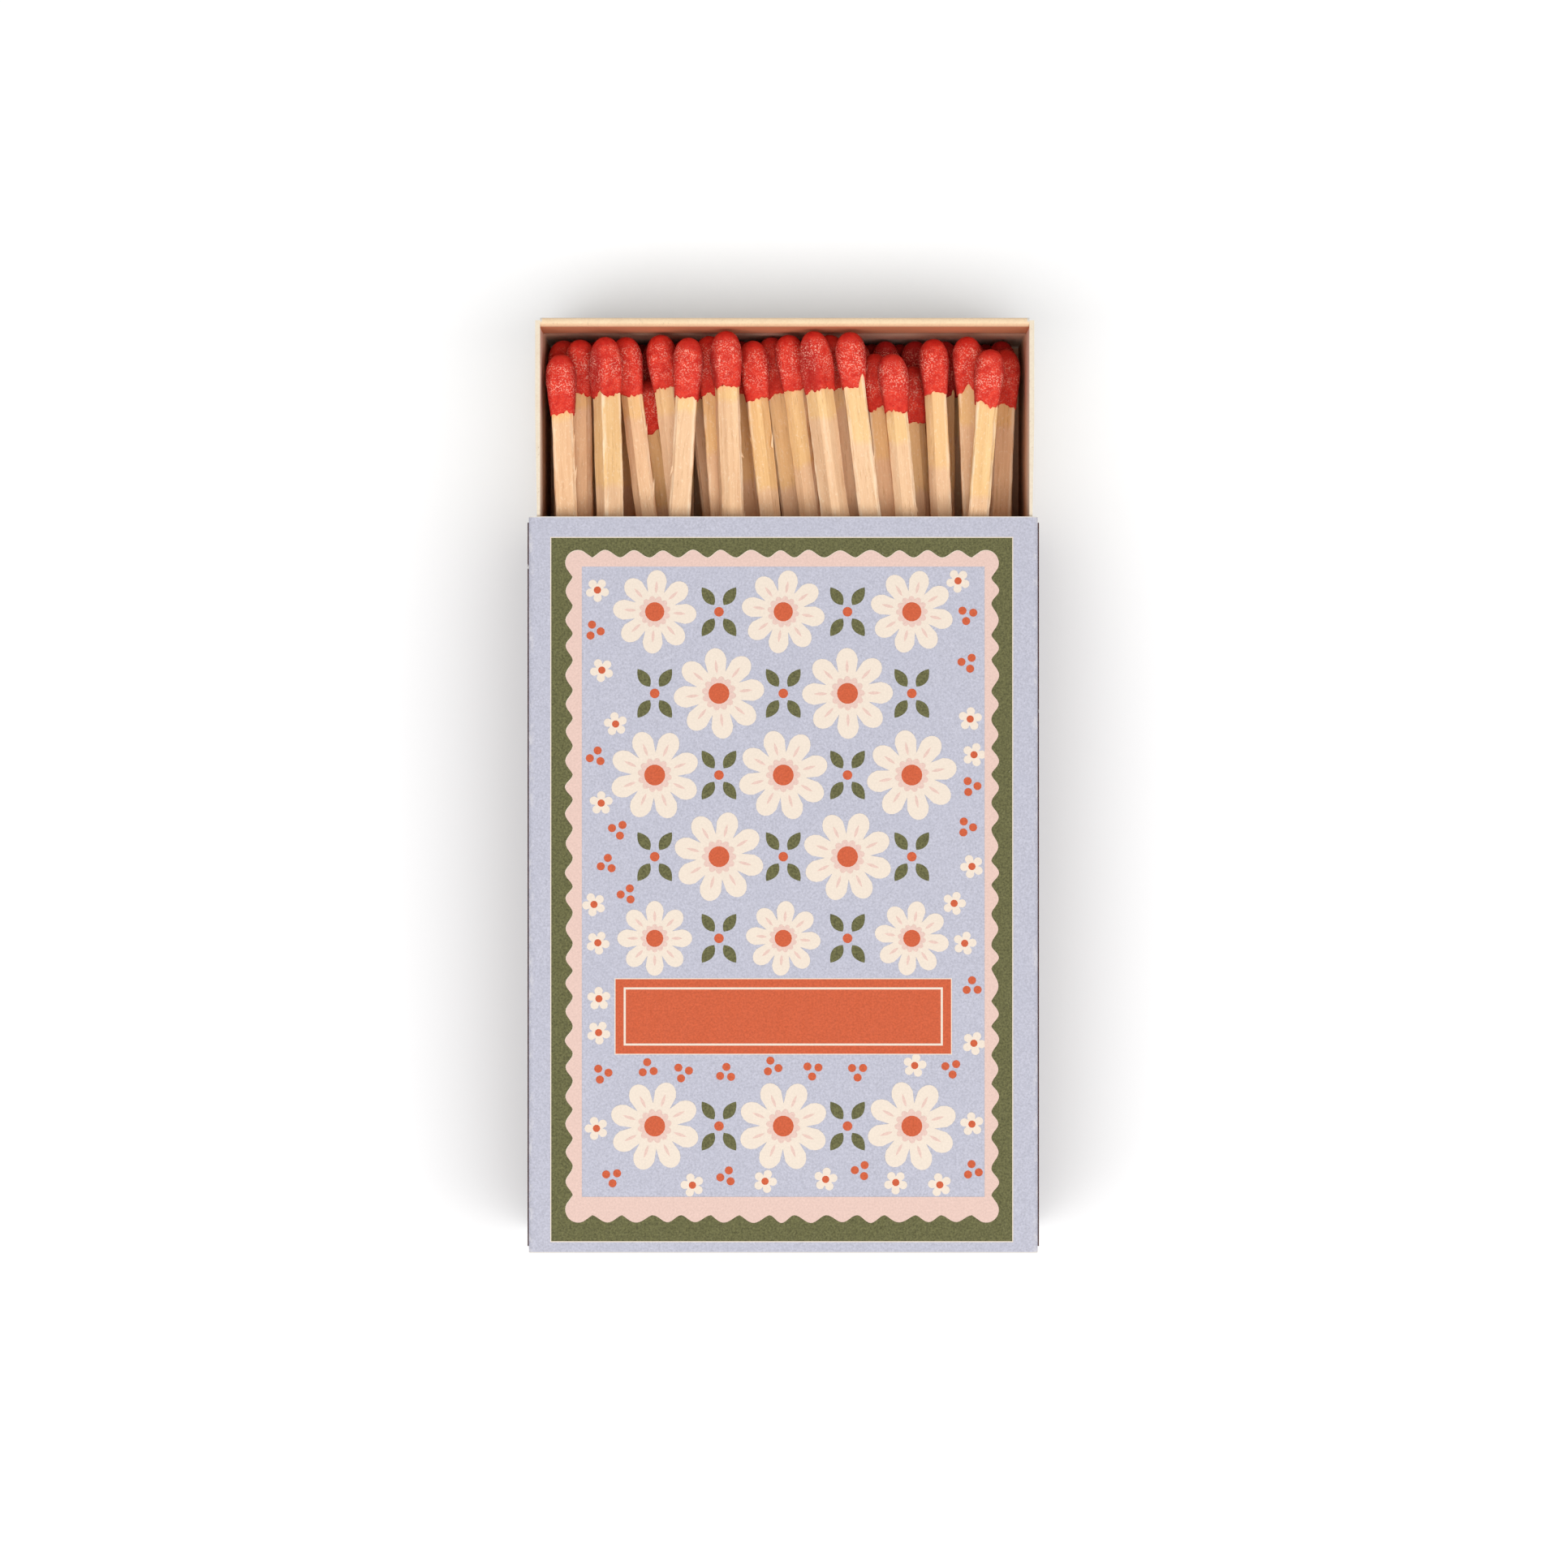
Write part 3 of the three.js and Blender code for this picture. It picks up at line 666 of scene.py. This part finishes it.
def head_mesh(seed, width=1.0, turns=44, notch=None):
    """A head with its tip at the origin, that gets square down -Y where it coats the stick."""
    rnd = random.Random(seed)
    lump = rnd.uniform(0, 90)
    lean_x, lean_z = rnd.uniform(-0.12, 0.12), rnd.uniform(-0.12, 0.12)
    tall = rnd.uniform(0.96, 1.06)
    teeth = [rnd.uniform(-0.2, 0.2) for _ in range(turns)]
    verts = [(lean_x * MM, 0, lean_z * MM)]
    faces = []
    for down in DOWNS:
        power = 2.0 + 4.5 * max(0.0, min(1.0, (down - 2.5) / 4.0))
        fade = max(0.0, 1 - down / 5)
        for j in range(turns):
            a = 2 * math.pi * j / turns
            cos, sin = math.cos(a), math.sin(a)
            edge = noise.noise(Vector((cos * 1.3, sin * 1.3, lump))) * 0.7
            if notch:
                angle, depth, half_angle = notch
                off = abs(math.remainder(a - angle, 2 * math.pi))
                edge -= depth * max(0.0, 1 - off / half_angle)
            ragged = edge * max(0.0, (down - 4.5) / 3.2)
            y = -(down * tall + ragged + teeth[j] * max(0.0, (down - 7.0) / 0.7))
            r = profile(down) * width * squarish(a, power) * (0.94 + 0.12 / power)
            bumpy = noise.noise(Vector((cos * 2.2, down * 0.9, sin * 2.2 + lump))) * 0.09
            bumpy += noise.noise(Vector((cos * 6, down * 2.6, sin * 6 + lump))) * 0.05
            r += bumpy * min(1.0, down)
            verts.append(((r * cos + lean_x * fade) * MM, y * MM, (r * sin + lean_z * fade) * MM))
    # The coat's edge turns in under itself, and a flat face closes it inside the stick
    for x, y, z in verts[-turns:]:
        verts.append((x * 0.80, y + 0.10 * MM, z * 0.80))
    for j in range(turns):
        faces.append((0, 1 + (j + 1) % turns, 1 + j))
    for k in range(len(DOWNS)):
        for j in range(turns):
            a, b = 1 + k * turns + j, 1 + k * turns + (j + 1) % turns
            faces.append((a, b, b + turns, a + turns))
    faces.append(tuple(range(len(verts) - turns, len(verts))))
    return verts, faces


def stick_mesh(seed, length, pitch, splinters):
    """A split stick down -Y, with a cut of its own along each edge and rings a pitch apart."""
    rnd = random.Random(seed + 1000)
    half = HALF_STICK * rnd.uniform(0.965, 1.0)
    cuts = [rnd.choice((0.15, 0.2, 0.3, 0.4)) for _ in range(4)]
    if rnd.random() < 0.5:
        cuts[rnd.choice((1, 2))] = rnd.uniform(0.6, 1.05)
    drift = rnd.uniform(0, 50)
    outline = []
    for q in range(4):
        t = math.radians(90 * q)
        for x, z in ((half, -half + cuts[q]), (half, half - cuts[(q + 1) % 4])):
            outline.append((x * math.cos(t) - z * math.sin(t), x * math.sin(t) + z * math.cos(t)))
    points = []
    for i, (x, z) in enumerate(outline):
        x2, z2 = outline[(i + 1) % len(outline)]
        points += [(x, z), ((x + x2) / 2, (z + z2) / 2)]
    n = len(points)
    bare_length = length - STICK_START
    count = math.ceil(bare_length / pitch)
    rings = [STICK_START + bare_length * k / count for k in range(count + 1)]
    verts, faces = [], []
    for y in rings:
        for x, z in points:
            w = noise.noise(Vector((x * 0.8, y * 0.09, z * 0.8 + drift))) * 0.06
            w += noise.noise(Vector((x * 2.5, y * 0.5, z * 2.5 + drift))) * 0.07
            k = 1 + (w - 0.03) / HALF_STICK
            verts.append((x * k * MM, -y * MM, z * k * MM))
    for k in range(count):
        for j in range(n):
            a, b = k * n + j, k * n + (j + 1) % n
            faces.append((a, b, b + n, a + n))
    faces.append(tuple(range(n)))
    faces.append(tuple(count * n + j for j in reversed(range(n))))
    for _ in range(splinters):
        side, y, z = rnd.choice((-1, 1)), rnd.uniform(10, 27), rnd.uniform(0.7, 1.25)
        x = side * (half - 0.06)
        reach, out, way = rnd.uniform(0.9, 2.2), rnd.uniform(0.15, 0.32), rnd.choice((-1, 1))
        root = ((x, y, z), (x, y + 0.7, z), (x - side * 0.3, y + 0.3, z + 0.1))
        point = (x + side * out, y + way * reach, z + 0.1)
        a, b, c, d = range(len(verts), len(verts) + 4)
        verts += [(px * MM, -py * MM, pz * MM) for px, py, pz in (*root, point)]
        faces += [(a, b, c), (a, b, d), (b, c, d), (a, c, d)]
    return verts, faces


def build(parts):
    """One mesh from (verts, faces, matrix) parts."""
    verts, faces = [], []
    for v, f, m in parts:
        base = len(verts)
        verts.extend((m @ Vector(p))[:] for p in v)
        faces.extend(tuple(base + i for i in face) for face in f)
    mesh = bpy.data.meshes.new("part")
    mesh.from_pydata(verts, [], faces)
    bm = bmesh.new()
    bm.from_mesh(mesh)
    bmesh.ops.recalc_face_normals(bm, faces=bm.faces)
    bm.to_mesh(mesh)
    bm.free()
    return mesh


def placing(tip, tail, across):
    """Matrix of a match with its tip at the origin, its stick along -Y and a side face along X."""
    y = (tip - tail).normalized()
    x = (across - y * across.dot(y)).normalized()
    m = Matrix((x, y, x.cross(y))).transposed().to_4x4()
    m.translation = tip
    return m


def lie_of(node):
    """Tip, tail centre and side direction of a CAD match."""
    points = [v.co.copy() for v in nodes[node].data.vertices]
    tip = max(points, key=lambda p: p.y)
    tail_y = min(p.y for p in points)
    end = [p for p in points if p.y < tail_y + 1.2 * MM]
    tail = sum(end, Vector()) / len(end)
    ring = sorted(end, key=lambda p: math.atan2(p.z - tail.z, p.x - tail.x))
    edges = [ring[(i + 1) % len(ring)] - ring[i] for i in range(len(ring))]
    across = max(edges, key=lambda e: math.hypot(e.x, e.z))
    if abs(across.z) > abs(across.x):
        across = Vector((across.z, 0, -across.x))
    return tip, tail, across if across.x > 0 else -across


loose = sorted(n for n in nodes if n.startswith("match_") and not n.startswith("match_bed"))
for i, node in enumerate(loose):
    tip, tail, across = lie_of(node)
    v, f = stick_mesh(i, (tip - tail).length / MM, pitch=0.9, splinters=i % 3)
    mesh = build([(v, f, Matrix.Identity(4))])
    stick = piece(node + "_stick", mesh, "match_wood", "tray_body")
    v, f = head_mesh(i, notch=NOTCHES.get(node))
    mesh = build([(v, f, Matrix.Identity(4))])
    head = piece(node + "_head", mesh, "match_head", "tray_body", smooth=True)
    for obj in (stick, head):
        obj.matrix_world = placing(tip, tail, across)
        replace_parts(obj, node)

BED_COUNTS = {1: 16, 2: 15, 3: 16}
BED_PITCH = 3.99
BED_HEAD = 2.07  # From a row's lower or upper face to the middle of its heads
for level, count in BED_COUNTS.items():
    node = f"match_bed_{level}"
    low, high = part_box(node)
    middle = (low.x + high.x) / 2
    head_z = low.z + BED_HEAD * MM if level == 1 else high.z - BED_HEAD * MM
    sticks, heads = [], []
    for i in range(count):
        x = middle + (i - (count - 1) / 2) * BED_PITCH * MM
        tip = Vector((x, high.y, head_z))
        tail = Vector((x, low.y + 0.05 * MM, low.z + HALF_STICK * MM))
        place = placing(tip, tail, Vector((1, 0, 0)))
        seed, length = 100 * level + i, (tip - tail).length / MM
        sticks.append((*stick_mesh(seed, length, pitch=1.6, splinters=0), place))
        heads.append((*head_mesh(seed, width=0.95, turns=18), place))
    origin = Matrix.Translation(Vector((middle, high.y, head_z)))
    back = origin.inverted()
    for kind, parts, slot in (("sticks", sticks, "match_wood"), ("heads", heads, "match_head")):
        mesh = build([(v, f, back @ m) for v, f, m in parts])
        look = bed_wood if kind == "sticks" else None
        smooth = kind == "heads"
        obj = piece(f"{node}_{kind}", mesh, slot, "tray_body", smooth, look)
        obj.matrix_world = origin
        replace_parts(obj, node)

scene = bpy.context.scene
FLOOR = 4.0  # Half its width, in metres
mesh = bpy.data.meshes.new("floor")
mesh.from_pydata([(x, y, 0) for x, y in rect(-FLOOR, -FLOOR, FLOOR, FLOOR)], [], [(0, 1, 2, 3)])
mesh.materials.append(floor_white())
floor = bpy.data.objects.new("floor", mesh)
scene.collection.objects.link(floor)
floor.location.z = -0.00002  # Just under the object, so that no two faces share a plane
floor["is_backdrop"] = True

# Soft light from all round, and a plain white background where it is seen directly
world = bpy.data.worlds.new("studio")
scene.world = world
world.use_nodes = True
tree = world.node_tree
tree.nodes.clear()
out = tree.nodes.new("ShaderNodeOutputWorld")
fill = tree.nodes.new("ShaderNodeBackground")
fill.inputs["Color"].default_value = (1, 1, 1, 1)
fill.inputs["Strength"].default_value = 0.50
seen = tree.nodes.new("ShaderNodeBackground")
seen.inputs["Color"].default_value = (1, 1, 1, 1)
seen.inputs["Strength"].default_value = 1.0
choose = tree.nodes.new("ShaderNodeMixShader")
tree.links.new(seen_directly(tree), choose.inputs[0])
tree.links.new(fill.outputs[0], choose.inputs[1])
tree.links.new(seen.outputs[0], choose.inputs[2])
tree.links.new(choose.outputs[0], out.inputs[0])

# A wide softbox above the part, a little towards its tail end
softbox = bpy.data.lights.new("key", "AREA")
softbox.shape = "RECTANGLE"
softbox.size, softbox.size_y = 1.6, 0.5
softbox.energy = 9.8
key = bpy.data.objects.new("key", softbox)
scene.collection.objects.link(key)
key.location = (0.03, -0.25, 1.0)
key.rotation_mode = "QUATERNION"
key.rotation_quaternion = (Vector((0, 0.01, 0)) - key.location).to_track_quat("-Z", "Y")

# The photograph is taken from straight above
lens = bpy.data.cameras.new("camera")
lens.lens = 88.0
lens.sensor_width = 36.0
lens.clip_start = 0.01
camera = bpy.data.objects.new("camera", lens)
scene.collection.objects.link(camera)
camera.location = (0.0001, 0.0135, 0.540)
scene.camera = camera
scene.view_settings.view_transform = "Standard"

low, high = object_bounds()
